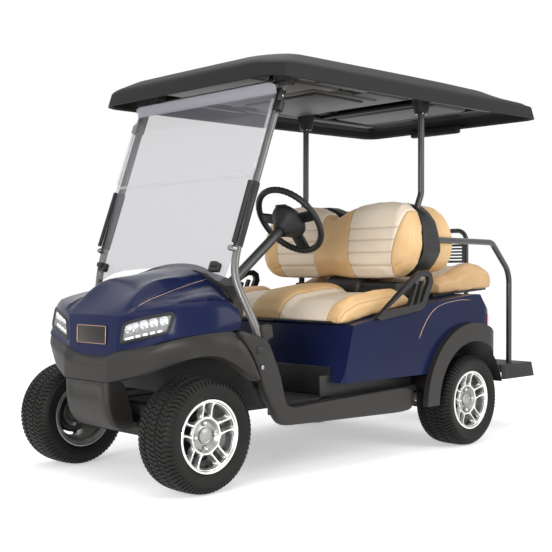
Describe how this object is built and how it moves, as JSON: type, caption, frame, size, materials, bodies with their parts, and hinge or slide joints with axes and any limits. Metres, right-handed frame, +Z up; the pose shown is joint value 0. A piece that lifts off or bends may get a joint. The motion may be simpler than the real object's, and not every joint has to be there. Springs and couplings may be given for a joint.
{
  "type": "four-seat golf cart",
  "caption": "Golf cart with a roof, folding windscreen, forward and rear-facing benches, rear step, moulded body and steered alloy wheels.",
  "frame": {"origin": "on the ground, under the centre of the overall length and width", "axes": "+X to the cart's left, +Y to its rear, +Z up"},
  "size_m": [1.23, 2.726, 1.812],
  "materials": {
    "navy_paint": "gloss clear-coated",
    "grey_moulding": "grained moulding",
    "black_moulding": "grained moulding",
    "roof_black": "satin",
    "dark_tube": "powder coat",
    "underframe": "powder coat",
    "clear_screen": "clear",
    "vinyl": "stitched vinyl",
    "seat_board": "plain",
    "alloy": "machined and lacquered",
    "tyre_rubber": "treaded",
    "lamp_lens": "clear lens",
    "red_lens": "red lens",
    "battery_case": "plain",
    "cast_housing": "painted casting"
  },
  "bodies": {
    "chassis": {"hood": "navy_paint", "body": "navy_paint", "bumper": "grey_moulding", "rocker_left": "grey_moulding", "rocker_right": "grey_moulding", "flare_left": "grey_moulding", "flare_right": "grey_moulding", "chin": "black_moulding", "floor": "black_moulding", "dash": "black_moulding", "kick_panel": "black_moulding", "step": "black_moulding", "seat_pod": "black_moulding", "backrest_pod": "black_moulding", "armrest_left": "black_moulding", "armrest_right": "black_moulding", "roof": "roof_black", "strut_left": "dark_tube", "strut_right": "dark_tube", "rear_post_left": "dark_tube", "rear_post_right": "dark_tube", "side_rail_left": "dark_tube", "side_rail_right": "dark_tube", "grab_bar": "dark_tube", "steering_column": "dark_tube", "screen_channel_left": "dark_tube", "screen_channel_right": "dark_tube", "frame": "underframe", "front_axle": "underframe", "leaf_spring_left": "underframe", "leaf_spring_right": "underframe", "pedals": "underframe", "windscreen_lower": "clear_screen", "windscreen_upper": "clear_screen", "backrest_front": "vinyl", "backrest_rear": "vinyl", "rear_cushion": "vinyl", "rear_seat_base": "seat_board", "headlamp_left": "lamp_lens", "headlamp_right": "lamp_lens", "tail_lamp_left": "red_lens", "tail_lamp_right": "red_lens", "batteries": "battery_case", "motor": "cast_housing", "rear_axle": "cast_housing"},
    "seat": {"seat_pan": "seat_board", "seat_cushion": "vinyl"},
    "steering": {"steering_wheel": "black_moulding"},
    "rack": {"steering_rack": "underframe"},
    "knuckle_left": {"knuckle_left": "underframe"},
    "knuckle_right": {"knuckle_right": "underframe"},
    "wheel_front_left": {"rim_front_left": "alloy", "tyre_front_left": "tyre_rubber"},
    "wheel_front_right": {"rim_front_right": "alloy", "tyre_front_right": "tyre_rubber"},
    "wheel_rear_left": {"rim_rear_left": "alloy", "tyre_rear_left": "tyre_rubber"},
    "wheel_rear_right": {"rim_rear_right": "alloy", "tyre_rear_right": "tyre_rubber"}
  },
  "joints": [
    {"name": "front_seat_tilt", "type": "hinge", "parent": "chassis", "child": "seat", "pos_m": [0, -0.367, 0.642], "axis": [1, 0, 0], "range_deg": [0, 45]},
    {"name": "steer_left", "type": "hinge", "parent": "chassis", "child": "knuckle_left", "pos_m": [0.375, -1.129, 0.229], "axis": [0, 0, 1], "range_deg": [-30, 30]},
    {"name": "steer_right", "type": "hinge", "parent": "chassis", "child": "knuckle_right", "pos_m": [-0.375, -1.129, 0.229], "axis": [0, 0, 1], "range_deg": [-30, 30]},
    {"name": "rack_slide", "type": "slide", "parent": "chassis", "child": "rack", "axis": [1, 0, 0], "range_m": [-0.036, 0.036]},
    {"name": "steering_wheel_turn", "type": "hinge", "parent": "chassis", "child": "steering", "pos_m": [0.26, -0.425, 1.106], "axis": [0, 0.7859, 0.6184], "range_deg": [-360, 360]},
    {"name": "spin_front_left", "type": "hinge", "parent": "knuckle_left", "child": "wheel_front_left", "pos_m": [0.434, -1.129, 0.229], "axis": [1, 0, 0], "continuous": true},
    {"name": "spin_rear_left", "type": "hinge", "parent": "chassis", "child": "wheel_rear_left", "pos_m": [0.5045, 0.535, 0.229], "axis": [1, 0, 0], "continuous": true},
    {"name": "spin_front_right", "type": "hinge", "parent": "knuckle_right", "child": "wheel_front_right", "pos_m": [-0.434, -1.129, 0.229], "axis": [1, 0, 0], "continuous": true},
    {"name": "spin_rear_right", "type": "hinge", "parent": "chassis", "child": "wheel_rear_right", "pos_m": [-0.5045, 0.535, 0.229], "axis": [1, 0, 0], "continuous": true}
  ],
  "couplings": [
    {"joint": "steer_right", "follows": "steer_left", "ratio": 1},
    {"joint": "rack_slide", "follows": "steer_left", "m_per_rad": -0.065},
    {"joint": "steering_wheel_turn", "follows": "steer_left", "ratio": 12}
  ]
}
